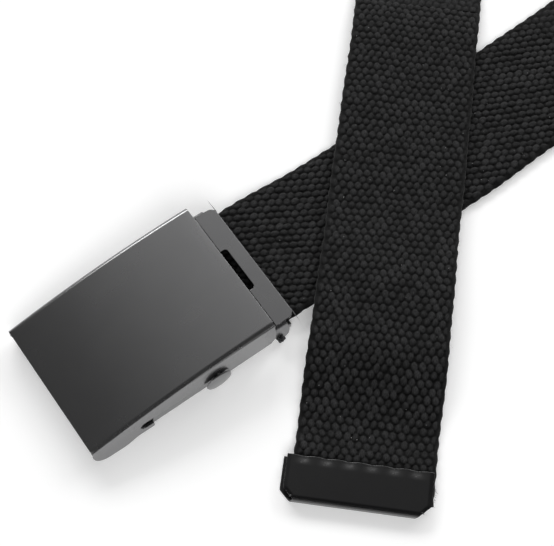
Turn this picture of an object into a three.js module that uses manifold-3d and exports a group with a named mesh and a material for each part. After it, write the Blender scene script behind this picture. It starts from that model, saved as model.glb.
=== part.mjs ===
// A canvas web belt: one loop of flat webbing, a slide-lock buckle and a folded metal tip.
// Millimetres, +Z up. The origin is on the underside of the buckle's back plate, at its centre.
// +X runs along the buckle towards the clamp and the webbing, +Y across the belt.
import * as THREE from "three";
import * as BufferGeometryUtils from "three/addons/utils/BufferGeometryUtils.js";
import Module from "manifold-3d";

const wasm = await Module();
wasm.setup();

// Driving sizes of the webbing
const webWidth = 38;
const webThickness = 2.6;
const webCorner = 0.6;
const loopRadius = 113.5;
const strapHeading = 1.8;
const tailHeading = 46.7;
const crossingFromClamp = 49.1;
const crossingSide = -1.3;
const tailLength = 96;
const ridgeClearance = 0.35;
const rollStart = 95;
const rollLength = 110;
const descentLength = 25.5;
const strapLeaveHeading = 1.5;

// Driving sizes of the buckle
const coverLength = 57.5;
const coverWidth = 41.9;
const coverSheet = 0.9;
const coverFrontHeight = 8.0;
const coverRearHeight = 14.4;
const coverCamber = 1.8;
const coverBend = 1.3;
const wallLean = 0.08;
const wallLift = 0.2;
const lobeRadius = 4.2;
const lobeLength = 4.4;
const lobeStep = 1.4;
const lobeStepLength = 5.2;
const seamFromMiddle = -10.5;
const rearWallLift = 4.6;
const rearWallCorner = 2.6;

// Driving sizes of the slot and of the bar that slides in it
const slotHeight = 5.05;
const slotFront = -14.3;
const barRadius = 1.3;
const barClearance = 0.2;
const barRest = 9.7;
const keyholeCentre = 10.5;
const keyholeRadius = 3.0;
const buttonRadius = 3.9;
const buttonThickness = 0.7;
const buttonStandOff = 0.4;
const rollerRadius = 3.0;

// Driving sizes of the base
const baseSheet = 0.8;
const baseFront = -22;
const baseRear = 28.2;
const fitGap = 0.3;
const stripOuter = 20.4;
const stripEnd = 25.4;
const stripRearHeight = 3.4;
const anvilHeight = 2.0;
const anvilWidth = 38.7;
const anvilFromCover = 0.6;
const anvilSetback = 1;

// Driving sizes of the clamp, a flap bent from sheet that turns on two rivets
const clampReach = 7.6;
const jawSheet = 0.7;
const jawTop = 8.0;
const jawWidth = 40.7;
const jawLean = 0.08;
const jawBend = 1.1;
const jawFromCover = 1.5;
const jawLipWidth = 38.9;
const jawCorner = 2.0;
const cheekFromCover = 0.3;
const cheekLength = 4.8;
const cheekLift = 0.25;
const cheekShoulder = 2.6;
const cheekRadius = 1.15;
const pivotFromCover = 1.85;
const pivotHeight = 1.4;
const pivotRadius = 0.6;
const pivotHead = 1.2;
const pivotHeadLength = 0.9;
const pivotPlay = 0.15;
const notchLength = 13.8;
const notchDepth = 1.9;
const notchCorner = 0.9;
const toothCount = 12;
const toothHeight = 0.6;
const toothedWidth = 36.5;

// Driving sizes of the tip
const tipLength = 12;
const tipWidth = 38.6;
const tipSide = 1.0;
const tipSheet = 0.5;
const tipGap = 0.25;
const tipChamfer = 3.0;

// Sizes that follow from the driving ones
const halfCover = coverLength / 2;
const clampFloor = anvilHeight + fitGap;
const clampEnd = halfCover + clampReach;
const pivotX = halfCover + pivotFromCover;
const jawInner = halfCover + jawFromCover;
const cheekStart = halfCover + cheekFromCover;
const slotRadius = barRadius + barClearance;
const rad = THREE.MathUtils.degToRad;
const smooth = (from, to, value) => THREE.MathUtils.smoothstep(value, from, to);

// Solids and booleans
function welded(geometry) {
  const bare = geometry.index ? geometry.toNonIndexed() : geometry.clone();
  bare.deleteAttribute("normal");
  bare.deleteAttribute("uv");
  return BufferGeometryUtils.mergeVertices(bare, 1e-4);
}

function solid(geometry) {
  const mesh = welded(geometry);
  return new wasm.Manifold(new wasm.Mesh({
    numProp: 3,
    vertProperties: new Float32Array(mesh.attributes.position.array),
    triVerts: new Uint32Array(mesh.index.array),
  }));
}

function geometryOf(body) {
  const mesh = body.getMesh();
  const geometry = new THREE.BufferGeometry();
  geometry.setAttribute("position", new THREE.BufferAttribute(mesh.vertProperties, 3));
  geometry.setIndex(new THREE.BufferAttribute(mesh.triVerts, 1));
  geometry.computeVertexNormals();
  return geometry;
}

function union(bodies) {
  return bodies.reduce((all, body) => all.add(body));
}

function boxBetween(low, high) {
  const size = high.map((value, axis) => value - low[axis]);
  const box = new THREE.BoxGeometry(...size);
  return box.translate(...low.map((value, axis) => value + size[axis] / 2));
}

// A shape drawn in X and Z, given a thickness along Y between two sides
function acrossY(shape, fromY, toY, curveSegments = 12) {
  const options = { depth: toY - fromY, bevelEnabled: false, curveSegments };
  return new THREE.ExtrudeGeometry(shape, options).rotateX(Math.PI / 2).translate(0, toY, 0);
}

// A shape drawn in X and Y, given a thickness along Z between two heights
function upZ(shape, fromZ, toZ, curveSegments = 8) {
  const options = { depth: toZ - fromZ, bevelEnabled: false, curveSegments };
  return new THREE.ExtrudeGeometry(shape, options).translate(0, 0, fromZ);
}

function roundAlongY(radius, fromY, toY, x, z, sides = 24) {
  const length = toY - fromY;
  return new THREE.CylinderGeometry(radius, radius, length, sides).translate(x, fromY + length / 2, z);
}

// Closed rings of points, all alike in number, joined into one capped body
function loft(rings) {
  const count = rings[0].length;
  const positions = rings.flat().flatMap((point) => [point.x, point.y, point.z]);
  const index = [];
  for (let ring = 0; ring + 1 < rings.length; ring += 1) {
    for (let corner = 0; corner < count; corner += 1) {
      const next = (corner + 1) % count;
      const here = ring * count;
      const there = here + count;
      index.push(here + corner, here + next, there + next);
      index.push(here + corner, there + next, there + corner);
    }
  }
  return { positions, index, count };
}

function capped(rings, section) {
  const { positions, index, count } = loft(rings);
  const faces = THREE.ShapeUtils.triangulateShape(section, []);
  const last = (rings.length - 1) * count;
  for (const [a, b, c] of faces) {
    index.push(c, b, a);
    index.push(last + a, last + b, last + c);
  }
  const geometry = new THREE.BufferGeometry();
  geometry.setAttribute("position", new THREE.Float32BufferAttribute(positions, 3));
  geometry.setIndex(index);
  geometry.computeVertexNormals();
  return geometry;
}

// Top of the cover, which rises towards the clamp and is bowed along its length
function coverTop(x) {
  const share = x / coverLength;
  const slope = coverFrontHeight + (coverRearHeight - coverFrontHeight) * (share + 0.5);
  return slope + coverCamber * (1 - 4 * share * share);
}

function wallOuter(x, z) {
  return coverWidth / 2 + wallLean * (coverTop(x) - z);
}

// Half of a section bent from sheet, from the foot of its side to the flat of its top
function bentHalf({ side, top, foot, low, bend }, inset) {
  const radius = Math.max(bend - inset, 0.2);
  const steps = 4;
  const points = [[foot - inset, low]];
  for (let step = 0; step <= steps; step += 1) {
    const angle = (step / steps) * (Math.PI / 2);
    points.push([side - inset - radius + radius * Math.cos(angle), top - inset - radius + radius * Math.sin(angle)]);
  }
  return points;
}

// The whole bent section at one place along X, as a closed ring of points
function bentRing(x, section, sheet) {
  const outer = bentHalf(section, 0);
  const inner = bentHalf(section, sheet);
  const left = ([y, z]) => new THREE.Vector3(x, -y, z);
  const right = ([y, z]) => new THREE.Vector3(x, y, z);
  return [
    ...outer.map(right),
    ...[...outer].reverse().map(left),
    ...inner.map(left),
    ...[...inner].reverse().map(right),
  ];
}

function bentBody(rings) {
  return solid(capped(rings, rings[0].map((point) => new THREE.Vector2(point.y, point.z))));
}

function coverRing(x) {
  const section = { side: coverWidth / 2, top: coverTop(x), foot: wallOuter(x, 0), low: 0, bend: coverBend };
  return bentRing(x, section, coverSheet);
}

// What is cut from both side walls: all below their lower outline, and the slot with its keyhole
function wallOutline() {
  const below = -5;
  const beyond = halfCover + 10;
  const lobeLow = -halfCover + 0.05 + lobeRadius;
  const lobeEnd = lobeLow + lobeLength;
  const stepEnd = lobeEnd + lobeStepLength;
  const stepTop = wallLift + lobeStep;
  const slotTop = slotHeight + slotRadius;
  const shape = new THREE.Shape();
  shape.moveTo(-beyond, below);
  shape.lineTo(-beyond, wallLift + lobeRadius);
  shape.lineTo(lobeLow - lobeRadius, wallLift + lobeRadius);
  shape.absarc(lobeLow, wallLift + lobeRadius, lobeRadius, Math.PI, 1.5 * Math.PI, false);
  shape.lineTo(lobeEnd, wallLift);
  shape.bezierCurveTo(lobeEnd + 2, wallLift, stepEnd - 2, stepTop, stepEnd, stepTop);
  shape.lineTo(seamFromMiddle, stepTop);
  shape.lineTo(seamFromMiddle, slotHeight - slotRadius);
  shape.lineTo(slotFront + slotRadius, slotHeight - slotRadius);
  shape.absarc(slotFront + slotRadius, slotHeight, slotRadius, 1.5 * Math.PI, 0.5 * Math.PI, true);
  const enter = Math.PI - Math.asin(slotRadius / keyholeRadius);
  const leave = -Math.asin((slotHeight - rearWallLift) / keyholeRadius);
  shape.lineTo(keyholeCentre + keyholeRadius * Math.cos(enter), slotTop);
  shape.absarc(keyholeCentre, slotHeight, keyholeRadius, enter, leave, true);
  shape.lineTo(halfCover - rearWallCorner, rearWallLift);
  shape.absarc(halfCover - rearWallCorner, rearWallLift + rearWallCorner, rearWallCorner,
    1.5 * Math.PI, 2 * Math.PI, false);
  shape.lineTo(beyond, rearWallLift + rearWallCorner);
  shape.lineTo(beyond, below);
  return shape;
}

function buckleCover() {
  const stations = 24;
  const rings = [];
  for (let station = 0; station <= stations; station += 1) {
    rings.push(coverRing(-halfCover + (coverLength * station) / stations));
  }
  return geometryOf(bentBody(rings).subtract(solid(acrossY(wallOutline(), -coverWidth, coverWidth))));
}

// The low side strip that closes the slot from below
function sideStrip() {
  const top = slotHeight - slotRadius;
  const shape = new THREE.Shape();
  shape.moveTo(seamFromMiddle + fitGap, 0);
  shape.lineTo(stripEnd, 0);
  shape.lineTo(stripEnd, stripRearHeight);
  shape.lineTo(keyholeCentre, stripRearHeight);
  shape.lineTo(keyholeCentre, top);
  shape.lineTo(seamFromMiddle + fitGap, top);
  return shape;
}

function baseFrame() {
  const stripInner = stripOuter - baseSheet;
  const frontHalf = coverWidth / 2 - coverSheet;
  const anvil = anvilWidth / 2;
  const anvilEnd = clampEnd - anvilSetback;
  const pieces = [
    solid(boxBetween([baseFront, -frontHalf, 0], [seamFromMiddle + 2, frontHalf, baseSheet])),
    solid(boxBetween([seamFromMiddle + fitGap, -stripOuter, 0], [baseRear, stripOuter, baseSheet])),
    solid(boxBetween([baseRear - 1, -anvil, 0], [anvilEnd, anvil, baseSheet])),
    solid(boxBetween([halfCover + anvilFromCover, -anvil, 0], [anvilEnd, anvil, anvilHeight])),
  ];
  for (const side of [-1, 1]) {
    const strip = [side * stripInner, side * stripOuter].sort((a, b) => a - b);
    pieces.push(solid(acrossY(sideStrip(), ...strip)));
  }
  const keyhole = solid(roundAlongY(keyholeRadius, -coverWidth, coverWidth, keyholeCentre, slotHeight));
  return geometryOf(union(pieces).subtract(keyhole));
}

// The outer part of the flap in plan, with its rounded corners
function lipPlan() {
  const lip = jawLipWidth / 2;
  const shape = new THREE.Shape();
  shape.moveTo(jawInner, -lip);
  shape.lineTo(clampEnd - jawCorner, -lip);
  shape.absarc(clampEnd - jawCorner, -lip + jawCorner, jawCorner, -Math.PI / 2, 0, false);
  shape.lineTo(clampEnd, lip - jawCorner);
  shape.absarc(clampEnd - jawCorner, lip - jawCorner, jawCorner, 0, Math.PI / 2, false);
  shape.lineTo(jawInner, lip);
  return shape;
}

// What is cut away in front of the flap's inner edge, with the pry notch
function notchPlan() {
  const open = jawWidth / 2 - jawBend;
  const half = notchLength / 2;
  const front = cheekStart - 1;
  const centre = jawInner + notchDepth - notchCorner;
  const shape = new THREE.Shape();
  shape.moveTo(front, -open);
  shape.lineTo(jawInner, -open);
  shape.lineTo(jawInner, -half);
  shape.lineTo(centre, -half);
  shape.absarc(centre, -half + notchCorner, notchCorner, -Math.PI / 2, 0, false);
  shape.lineTo(centre + notchCorner, half - notchCorner);
  shape.absarc(centre, half - notchCorner, notchCorner, 0, Math.PI / 2, false);
  shape.lineTo(jawInner, half);
  shape.lineTo(jawInner, open);
  shape.lineTo(front, open);
  return shape;
}

// The side view of the bent part of the flap: its cheeks, rounded at the foot round the rivet
function cheekOutline() {
  const end = cheekStart + cheekLength;
  const shape = new THREE.Shape();
  shape.moveTo(cheekStart, jawTop + 1);
  shape.lineTo(cheekStart, cheekShoulder);
  shape.lineTo(pivotX - cheekRadius, pivotHeight);
  shape.absarc(pivotX, pivotHeight, cheekRadius, Math.PI, 1.5 * Math.PI, false);
  shape.lineTo(end - 2, cheekLift);
  shape.bezierCurveTo(end - 0.8, cheekLift, end, 1.5, end, 3.1);
  shape.bezierCurveTo(end, 5, end - 0.3, 6.4, end - 0.7, 7.4);
  shape.lineTo(end - 0.7, jawTop + 1);
  return shape;
}

function cheekFoot(z) {
  return jawWidth / 2 + jawLean * (jawTop - z);
}

// The toothed lip, turned down at the flap's outer edge; drawn in Y and Z
function jawLip() {
  const half = toothedWidth / 2;
  const low = clampFloor + webThickness + fitGap;
  const pitch = (2 * half) / toothCount;
  const shape = new THREE.Shape();
  shape.moveTo(-half, jawTop - 0.1);
  for (let tooth = 0; tooth < toothCount; tooth += 1) {
    const start = -half + tooth * pitch;
    shape.lineTo(start, low + toothHeight);
    shape.lineTo(start + pitch / 2, low);
  }
  shape.lineTo(half, low + toothHeight);
  shape.lineTo(half, jawTop - 0.1);
  const options = { depth: jawSheet, bevelEnabled: false };
  const lip = new THREE.ExtrudeGeometry(shape, options);
  const turn = new THREE.Matrix4().makeBasis(
    new THREE.Vector3(0, 1, 0), new THREE.Vector3(0, 0, 1), new THREE.Vector3(1, 0, 0));
  return lip.applyMatrix4(turn).translate(clampEnd - jawSheet, 0, 0);
}

function clampJaw() {
  const section = { side: jawWidth / 2, top: jawTop, foot: cheekFoot(0), low: 0, bend: jawBend };
  const ends = [cheekStart, cheekStart + cheekLength].map((x) => bentRing(x, section, jawSheet));
  const bent = bentBody(ends).intersect(solid(acrossY(cheekOutline(), -coverWidth, coverWidth)));
  const plate = solid(upZ(lipPlan(), jawTop - jawSheet, jawTop));
  const notch = solid(upZ(notchPlan(), jawTop - jawBend, jawTop + 1));
  const hole = solid(roundAlongY(pivotRadius + barClearance, -coverWidth, coverWidth, pivotX, pivotHeight));
  return geometryOf(union([bent, plate]).subtract(notch).subtract(hole).add(solid(jawLip())));
}

// A rivet whose shank starts at the anvil's end and whose head lies outside the cheek
function pivotRivet(side) {
  const inside = anvilWidth / 2 + pivotPlay;
  const seat = cheekFoot(pivotHeight) + pivotPlay;
  const shank = [side * inside, side * (seat + pivotPlay)].sort((a, b) => a - b);
  const head = [side * seat, side * (seat + pivotHeadLength)].sort((a, b) => a - b);
  return geometryOf(union([
    solid(roundAlongY(pivotRadius, ...shank, pivotX, pivotHeight, 16)),
    solid(roundAlongY(pivotHead, ...head, pivotX, pivotHeight, 20)),
  ]));
}

// A rod with a domed button on each end, made as one turned piece
function lockBar() {
  const inside = wallOuter(barRest, slotHeight) + buttonStandOff;
  const outside = inside + buttonThickness;
  const dome = (side) => [
    [barRadius, side * inside], [buttonRadius - 0.15, side * inside], [buttonRadius, side * (inside + 0.15)],
    [buttonRadius - 0.25, side * (outside - 0.2)], [buttonRadius * 0.6, side * outside], [0, side * (outside + 0.08)],
  ];
  const profile = [...dome(-1).reverse(), ...dome(1)].map(([r, y]) => new THREE.Vector2(r, y));
  return new THREE.LatheGeometry(profile, 28).translate(barRest, 0, slotHeight);
}

function lockRoller() {
  const half = webWidth / 2 - 0.2;
  const bore = barRadius + barClearance;
  const profile = [[bore, -half], [rollerRadius, -half], [rollerRadius, half], [bore, half], [bore, -half]];
  return new THREE.LatheGeometry(profile.map(([r, y]) => new THREE.Vector2(r, y)), 28)
    .translate(barRest, 0, slotHeight);
}

// Where the two straight legs of the belt cross, and the loop that joins them
const crossing = new THREE.Vector2(clampEnd + crossingFromClamp, crossingSide);
const legAngle = rad(tailHeading - strapHeading) / 2;
const legLength = loopRadius / Math.tan(legAngle);
const loopTurn = Math.PI + 2 * legAngle;
const heading = (degrees) => new THREE.Vector2(Math.cos(rad(degrees)), Math.sin(rad(degrees)));

// Height of the webbing's underside on its way from the clamp down to the floor
function strapLift(x) {
  return clampFloor * (1 - smooth(clampEnd, clampEnd + descentLength, x));
}

// Height of the free end's underside, by distance from the crossing; negative is towards the tip
function tailLift(distance) {
  const crossingAngle = rad(tailHeading - strapHeading);
  const reach = (webWidth / 2) * (1 / Math.sin(crossingAngle) + 1 / Math.tan(crossingAngle));
  const over = webThickness + ridgeClearance;
  const high = over + clampFloor * 0.9;
  const ramp = 24;
  const settle = tailLength - tipLength;
  const fromLoop = over * (1 - smooth(reach + 2, reach + 2 + ramp, distance));
  const fromClamp = (high - over) * (1 - smooth(-reach + 10, -5, distance));
  const fall = smooth(-reach - 4 - ramp, -reach - 4, distance);
  const tip = (tipSheet + tipGap) * (1 - smooth(-settle + 2, -settle + 8, distance));
  return (fromLoop + fromClamp) * fall + tip;
}

function rollAt(distance) {
  return (Math.PI / 2) * smooth(rollStart, rollStart + rollLength, distance);
}

// One station of the webbing: its middle, direction of travel, lift and roll
function station(point, direction, lift, roll) {
  return { point, direction: direction.clone().normalize(), lift, roll };
}

function clampStretch() {
  const start = new THREE.Vector2(barRest + rollerRadius + 4.5, 0);
  const exit = new THREE.Vector2(clampEnd + 0.5, 0);
  const ahead = heading(strapHeading);
  const meet = crossing.clone().addScaledVector(ahead, 25);
  const leave = heading(strapLeaveHeading);
  const stations = [station(start, heading(0), clampFloor, 0)];
  const curve = new THREE.CubicBezierCurve(
    exit, exit.clone().addScaledVector(leave, 24), meet.clone().addScaledVector(ahead, -24), meet);
  const steps = 26;
  for (let step = 0; step <= steps; step += 1) {
    const point = curve.getPoint(step / steps);
    stations.push(station(point, curve.getTangent(step / steps), strapLift(point.x), 0));
  }
  return stations;
}

function strapLeg() {
  const ahead = heading(strapHeading);
  const stations = [];
  const steps = 26;
  for (let step = 0; step <= steps; step += 1) {
    const distance = 60 + (legLength - 60) * (step / steps);
    stations.push(station(crossing.clone().addScaledVector(ahead, distance), ahead, 0, rollAt(distance)));
  }
  return stations;
}

function loopArc() {
  const ahead = heading(strapHeading);
  const side = new THREE.Vector2(-ahead.y, ahead.x);
  const centre = crossing.clone().addScaledVector(ahead, legLength).addScaledVector(side, loopRadius);
  const stations = [];
  const steps = 52;
  for (let step = 1; step < steps; step += 1) {
    const angle = loopTurn * (step / steps);
    const outward = side.clone().negate().rotateAround(new THREE.Vector2(), angle);
    const direction = ahead.clone().rotateAround(new THREE.Vector2(), angle);
    stations.push(station(centre.clone().addScaledVector(outward, loopRadius), direction, 0, Math.PI / 2));
  }
  return stations;
}

function tailLeg() {
  const back = heading(tailHeading);
  const travel = back.clone().negate();
  const webEnd = tailLength - tipSheet - tipChamfer;
  const stations = [];
  const add = (distance) => stations.push(station(
    crossing.clone().addScaledVector(back, distance), travel, tailLift(distance), rollAt(distance)));
  const rollSteps = 22;
  const rollEnd = rollStart - 5;
  for (let step = 0; step <= rollSteps; step += 1) {
    add(legLength + (rollEnd - legLength) * (step / rollSteps));
  }
  const flatSteps = 46;
  for (let step = 1; step <= flatSteps; step += 1) {
    add(rollEnd - (rollEnd + webEnd) * (step / flatSteps));
  }
  return stations;
}

// The webbing's section across its width, with its corners cut
function webSection() {
  const half = webWidth / 2;
  const thick = webThickness / 2;
  const quarter = [[half, thick - webCorner], [half - webCorner, thick]];
  const top = [...quarter, ...quarter.map(([y, z]) => [-y, z]).reverse()];
  const bottom = top.map(([y, z]) => [-y, -z]);
  return [...top, ...bottom].map(([y, z]) => new THREE.Vector2(y, z));
}

function webbingStrap() {
  const section = webSection();
  const stations = [...clampStretch(), ...strapLeg(), ...loopArc(), ...tailLeg()];
  const up = new THREE.Vector3(0, 0, 1);
  const rings = stations.map(({ point, direction, lift, roll }) => {
    const side = new THREE.Vector3(-direction.y, direction.x, 0);
    const across = side.clone().multiplyScalar(Math.cos(roll)).addScaledVector(up, Math.sin(roll));
    const face = up.clone().multiplyScalar(Math.cos(roll)).addScaledVector(side, -Math.sin(roll));
    const height = lift + (webWidth / 2) * Math.sin(roll) + (webThickness / 2) * Math.cos(roll);
    const middle = new THREE.Vector3(point.x, point.y, height);
    return section.map(({ x, y }) => middle.clone().addScaledVector(across, x).addScaledVector(face, y));
  });
  return capped(rings, section);
}

// The tip, drawn lengthwise from its fold, then set at the end of the free leg
function beltTip() {
  const inside = webThickness + 2 * tipGap;
  const height = inside + 2 * tipSheet;
  const profile = new THREE.Shape();
  profile.moveTo(tipLength, 0);
  profile.lineTo(tipLength, tipSheet);
  profile.lineTo(tipSheet, tipSheet);
  profile.lineTo(tipSheet, tipSheet + inside);
  profile.lineTo(tipLength, tipSheet + inside);
  profile.lineTo(tipLength, height);
  profile.lineTo(0.9, height);
  profile.quadraticCurveTo(0, height, 0, height - 0.9);
  profile.lineTo(0, 0.9);
  profile.quadraticCurveTo(0, 0, 0.9, 0);
  const half = tipWidth / 2;
  const cuts = [-1, 1].map((side) => {
    const corner = new THREE.Shape();
    corner.moveTo(-1, side * (half + 1));
    corner.lineTo(tipChamfer + 1, side * (half + 1));
    corner.lineTo(-1, side * (half - tipChamfer - 1));
    return solid(upZ(corner, -1, height + 1));
  });
  const sheet = solid(acrossY(profile, -half, half, 4));
  const geometry = geometryOf(sheet.subtract(cuts[0]).subtract(cuts[1]));
  const end = crossing.clone().addScaledVector(heading(tailHeading), -tailLength);
  return geometry.translate(0, tipSide, 0).rotateZ(rad(tailHeading)).translate(end.x, end.y, 0);
}

// Finishes and the assembly
const webbingFinish = new THREE.MeshStandardMaterial({ color: 0x242426, roughness: 0.95, metalness: 0 });
const coverFinish = new THREE.MeshStandardMaterial({ color: 0x5b5b5f, roughness: 0.38, metalness: 0.85 });
const frameFinish = new THREE.MeshStandardMaterial({ color: 0x6a6a6d, roughness: 0.42, metalness: 0.85 });
const tipFinish = new THREE.MeshStandardMaterial({ color: 0x1b1b1d, roughness: 0.2, metalness: 0.6 });

const group = new THREE.Group();
const pieces = [
  ["webbing_strap", webbingStrap, webbingFinish],
  ["buckle_cover", buckleCover, coverFinish],
  ["base_frame", baseFrame, frameFinish],
  ["clamp_jaw", clampJaw, frameFinish],
  ["pivot_rivet_near", () => pivotRivet(-1), frameFinish],
  ["pivot_rivet_far", () => pivotRivet(1), frameFinish],
  ["lock_bar", lockBar, frameFinish],
  ["lock_roller", lockRoller, frameFinish],
  ["belt_tip", beltTip, tipFinish],
];
for (const [name, make, finish] of pieces) {
  const mesh = new THREE.Mesh(make(), finish);
  mesh.name = name;
  group.add(mesh);
}

export default group;
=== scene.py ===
"""Canvas web belt: one loop of woven webbing, a slide-lock buckle with a hinged clamp, and a folded tip.

Metres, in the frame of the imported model: the origin is under the buckle's middle, +X runs along the
buckle towards the webbing, +Y across it and +Z up.
"""
import math

import bmesh
import bpy
import numpy as np
from mathutils import Matrix, Vector


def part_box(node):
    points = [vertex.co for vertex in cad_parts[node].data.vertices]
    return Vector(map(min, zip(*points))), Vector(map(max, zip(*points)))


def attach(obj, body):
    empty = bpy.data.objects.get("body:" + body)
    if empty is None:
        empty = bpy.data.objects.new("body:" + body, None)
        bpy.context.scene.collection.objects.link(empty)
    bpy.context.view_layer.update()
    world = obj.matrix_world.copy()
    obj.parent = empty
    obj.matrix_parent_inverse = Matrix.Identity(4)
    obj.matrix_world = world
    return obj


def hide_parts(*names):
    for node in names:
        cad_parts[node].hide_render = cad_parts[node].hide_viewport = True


bl_info = {
    "name": "Canvas web belt",
    "version": (1, 0, 0),
    "blender": (4, 5, 0),
    "location": "View3D > Sidebar > Belt",
    "description": "Builds a canvas web belt with a slide-lock buckle around its packed model",
    "category": "Object",
}

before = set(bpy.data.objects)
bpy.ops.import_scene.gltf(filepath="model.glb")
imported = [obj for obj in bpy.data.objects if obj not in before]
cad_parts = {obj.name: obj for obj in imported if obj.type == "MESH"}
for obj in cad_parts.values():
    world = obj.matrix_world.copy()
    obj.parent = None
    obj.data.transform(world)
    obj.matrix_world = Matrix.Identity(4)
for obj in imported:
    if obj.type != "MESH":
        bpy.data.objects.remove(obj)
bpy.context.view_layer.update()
MM = 0.001
SEED = 41
CURVE_POINTS = 280
RESTING_SHARE = 0.84  # of the nub height, so that the underside stays on the table


# ---- sizes and colours a user would change

def length(name, description, millimetres):
    return bpy.props.FloatProperty(
        name=name, description=description, default=millimetres * MM, unit="LENGTH", subtype="DISTANCE", precision=5)


def angle(name, description, degrees):
    return bpy.props.FloatProperty(
        name=name, description=description, default=math.radians(degrees), unit="ROTATION", subtype="ANGLE")


def number(name, description, value):
    return bpy.props.FloatProperty(name=name, description=description, default=value)


def count(name, description, value):
    return bpy.props.IntProperty(name=name, description=description, default=value, min=0)


def colour(name, description, value):
    return bpy.props.FloatVectorProperty(
        name=name, description=description, default=value, size=3, subtype="COLOR", min=0, max=1)


class WebbingSizes(bpy.types.PropertyGroup):
    width: length("Width", "Width of the webbing", 38)
    thickness: length("Thickness", "Thickness over the yarns", 2.6)
    loop_radius: length("Loop radius", "Radius of the loop at the waist", 113.5)
    leave_heading: angle("Leave heading", "Direction in which the webbing leaves the clamp", 1.5)
    strap_heading: angle("Strap heading", "Direction of the clamped leg", 1.8)
    tail_heading: angle("Tail heading", "Direction of the free leg", 46.7)
    clamp_end: length("Clamp end", "Outer edge of the clamp, from the buckle's middle", 36.35)
    crossing_ahead: length("Crossing", "From the clamp to where the legs cross", 49.1)
    crossing_side: length("Crossing side", "Side shift of the crossing", -1.3)
    tail_length: length("Tail length", "From the crossing to the free end", 96)
    clamp_start: length("Clamp start", "Inner end of the webbing, from the buckle's middle", 17.2)
    clamp_floor: length("Clamp floor", "Height of the webbing's underside in the clamp", 2.3)
    descent: length("Descent", "Distance over which it comes down from the clamp", 25.5)
    ramp: length("Ramp", "Distance over which one leg climbs onto the other", 24)
    roll_start: length("Roll start", "Where the webbing starts to stand up, from the crossing", 95)
    roll_length: length("Roll length", "Distance over which it stands up", 110)
    row_pitch: length("Row pitch", "Distance between rows of yarn nubs", 2.06)
    warp_pitch: length("Warp pitch", "Distance between neighbouring warp yarns", 1.09)
    nub_height: length("Nub height", "How far a yarn stands out", 0.62)
    nub_length: length("Nub length", "Half length of a nub", 1.2)
    nub_width: length("Nub width", "Half width of a nub", 0.92)
    selvedge_bump: length("Selvedge bump", "How far the weft loops stand out at the edge", 0.24)
    fibres: count("Fibres", "Loose fibres on the webbing", 520)
    frayed: count("Frayed", "Frayed fibres at the tip's corner", 60)
    specks: count("Specks", "Bits of lint on the webbing", 60)


class BuckleSizes(bpy.types.PropertyGroup):
    cover_length: length("Cover length", "Length of the cover", 57.5)
    cover_width: length("Cover width", "Width over the cover's plate", 41.9)
    sheet: length("Sheet", "Thickness of the cover's sheet", 0.9)
    front_height: length("Front height", "Height at the front end", 8.0)
    rear_height: length("Rear height", "Height at the clamp end", 14.4)
    camber: length("Camber", "Bow of the plate along its length", 1.8)
    bend: length("Bend", "Outer radius of the long edges", 1.3)
    wall_lean: number("Wall lean", "How far the walls lean out, per height", 0.08)
    slot_height: length("Slot height", "Height of the slot's middle", 5.05)
    bar_rest: length("Bar rest", "Place of the bar along the slot", 9.7)
    edge: length("Edge", "Softening of the sheet's cut edges", 0.1)


class TipSizes(bpy.types.PropertyGroup):
    length: length("Length", "Length of the folded tip", 12)
    width: length("Width", "Width of the folded tip", 38.4)
    sheet: length("Sheet", "Thickness of its sheet", 0.5)
    gap: length("Gap", "Room between the sheet and the webbing", 0.25)
    chamfer: length("Chamfer", "Corner cut at the fold", 3)
    dents: count("Dents", "Crimp dents along the mouth", 6)
    dent_pitch: length("Dent pitch", "Distance between two dents", 5.9)
    dent_depth: length("Dent depth", "Depth of a dent at the mouth", 0.4)
    side_shift: length("Side shift", "How far the tip sits to one side", 1.0)
    leaf_shift: length("Leaf shift", "How far the back leaf stands out beside the front one", 0.9)


class Finishes(bpy.types.PropertyGroup):
    webbing: colour("Webbing", "Yarn colour", (0.0105, 0.0105, 0.0108))
    lint: colour("Lint", "Colour of loose specks", (0.42, 0.42, 0.42))
    cover: colour("Cover", "Colour of the cover's satin finish", (0.26, 0.26, 0.263))
    inner: colour("Frame", "Colour of the base, clamp and bar", (0.23, 0.23, 0.233))
    tip: colour("Tip", "Colour of the tip's gloss paint", (0.0045, 0.0045, 0.0047))
    floor: colour("Floor", "Colour of the table", (0.9, 0.9, 0.9))


class StageSizes(bpy.types.PropertyGroup):
    lens: number("Lens", "Focal length in millimetres on a 36 mm sensor", 87.14)
    aim_x: length("Aim X", "Floor point in the middle of the view", 41.24)
    aim_y: length("Aim Y", "Floor point in the middle of the view", -4.30)
    azimuth: angle("Azimuth", "Direction of the camera round the object", -35.42)
    elevation: angle("Elevation", "Height of the camera above the horizon", 67)
    distance: length("Distance", "From the floor point to the camera", 372)
    key: number("Key light", "Light on the table from behind the belt, in watts per square metre", 0.9)
    side: number("Side light", "Light on the table from the right", 0.45)
    low: number("Low light", "Light on the table from the far left", 0.15)
    front: number("Front light", "Light on the table from the camera's side", 1.15)
    sky: number("Sky", "Brightness of the room overhead", 0.28)
    sky_slope: number("Sky slope", "How much brighter the room is towards +X", 0.74)
    dimmest: number("Dimmest", "Brightness of the darkest part of the room", 0.06)
    table_glow: number("Table glow", "Light that the table gives off by itself", 0.2)


PROPERTY_GROUPS = {
    "belt_webbing": WebbingSizes,
    "belt_buckle": BuckleSizes,
    "belt_tip": TipSizes,
    "belt_finish": Finishes,
    "belt_stage": StageSizes,
}


# ---- modelling helpers

def activate(piece):
    bpy.ops.object.select_all(action="DESELECT")
    piece.select_set(True)
    bpy.context.view_layer.objects.active = piece


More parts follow.
